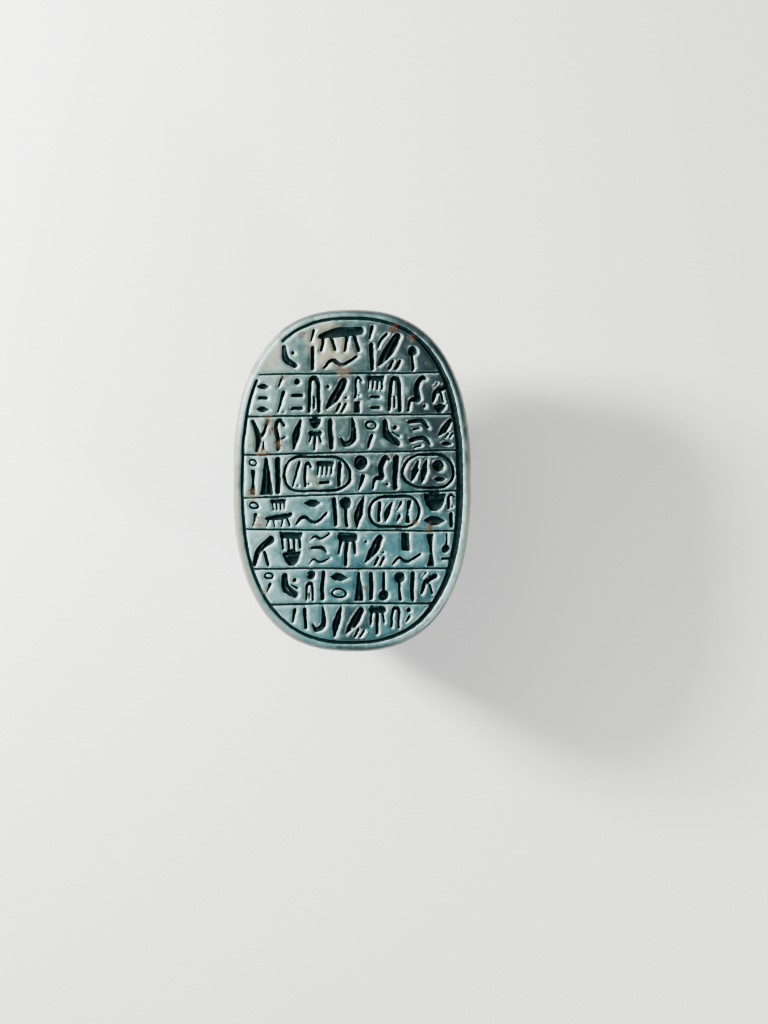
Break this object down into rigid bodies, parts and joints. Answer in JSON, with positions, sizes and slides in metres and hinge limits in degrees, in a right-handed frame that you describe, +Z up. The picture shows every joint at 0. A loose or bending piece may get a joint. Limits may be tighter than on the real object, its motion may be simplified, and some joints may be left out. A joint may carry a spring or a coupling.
{
  "type": "scarab amulet",
  "caption": "Oval scarab amulet carved in one piece: a beetle on a plinth whose flat underside bears rows of shallow strokes. It lies on its back with the strokes up, to be held or shown.",
  "frame": {"origin": "bottom centre of the bounding box, on the worn flat of the beetle's back that the amulet lies on", "axes": "+Z up out of the inscribed face, +Y along the oval's length towards the beetle's head and the top row, +X to the right of someone who reads the face"},
  "size_m": [0.0556, 0.08, 0.033],
  "materials": {
    "glazed_steatite": "worn blue-green glaze over pale steatite, satin, with dark patina in the cuts"
  },
  "bodies": {
    "root": {"scarab": "glazed_steatite"}
  },
  "joints": []
}
